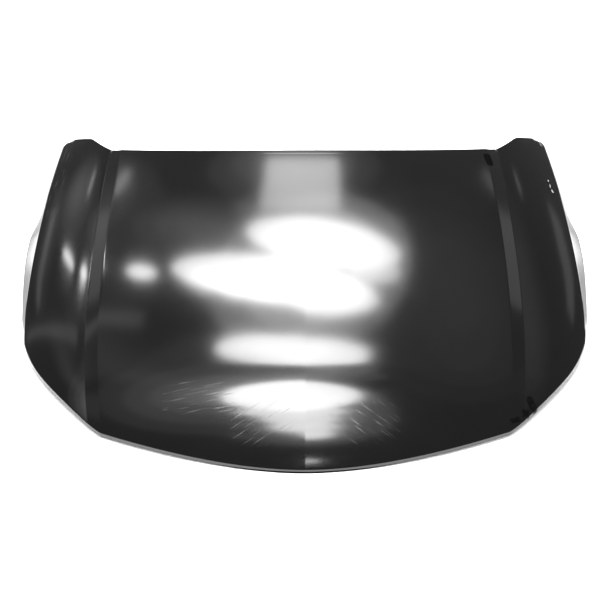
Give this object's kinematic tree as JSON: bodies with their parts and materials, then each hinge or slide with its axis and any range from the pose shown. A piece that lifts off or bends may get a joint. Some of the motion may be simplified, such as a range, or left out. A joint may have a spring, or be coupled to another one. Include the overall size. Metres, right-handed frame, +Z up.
{
  "type": "car bonnet",
  "caption": "Pressed steel car bonnet with a raised centre, stepped wings, rear hinge ears and cut-off front corners, hemmed over a ribbed inner panel.",
  "frame": {"origin": "middle of the underside of the box round the bonnet as it lies dome up", "axes": "+X to the bonnet's left-hand side as the driver sits, which is the right of the picture, +Y to the rear edge, +Z up out of the dome"},
  "size_m": [1.482, 1.0572, 0.1288],
  "materials": {
    "black_primer": "glossy black primer",
    "inner_primer": "satin black primer",
    "zinc_steel": "zinc plated",
    "mastic": "matt sealant"
  },
  "bodies": {
    "root": {"outer_panel": "black_primer", "inner_panel": "inner_primer", "hinge_reinforcement_left": "inner_primer", "hinge_nut_left_front": "zinc_steel", "hinge_nut_left_rear": "zinc_steel", "hinge_reinforcement_right": "inner_primer", "hinge_nut_right_front": "zinc_steel", "hinge_nut_right_rear": "zinc_steel", "striker_reinforcement": "inner_primer", "striker_plate": "zinc_steel", "striker_loop": "zinc_steel", "striker_bolt_left": "zinc_steel", "striker_nut_left": "zinc_steel", "striker_bolt_right": "zinc_steel", "striker_nut_right": "zinc_steel", "mastic_left_1": "mastic", "mastic_left_2": "mastic", "mastic_left_3": "mastic", "mastic_left_4": "mastic", "mastic_left_5": "mastic", "mastic_left_6": "mastic", "mastic_left_7": "mastic", "mastic_left_8": "mastic", "mastic_left_9": "mastic", "mastic_left_10": "mastic", "mastic_right_1": "mastic", "mastic_right_2": "mastic", "mastic_right_3": "mastic", "mastic_right_4": "mastic", "mastic_right_5": "mastic", "mastic_right_6": "mastic", "mastic_right_7": "mastic", "mastic_right_8": "mastic", "mastic_right_9": "mastic", "mastic_right_10": "mastic"}
  },
  "joints": []
}
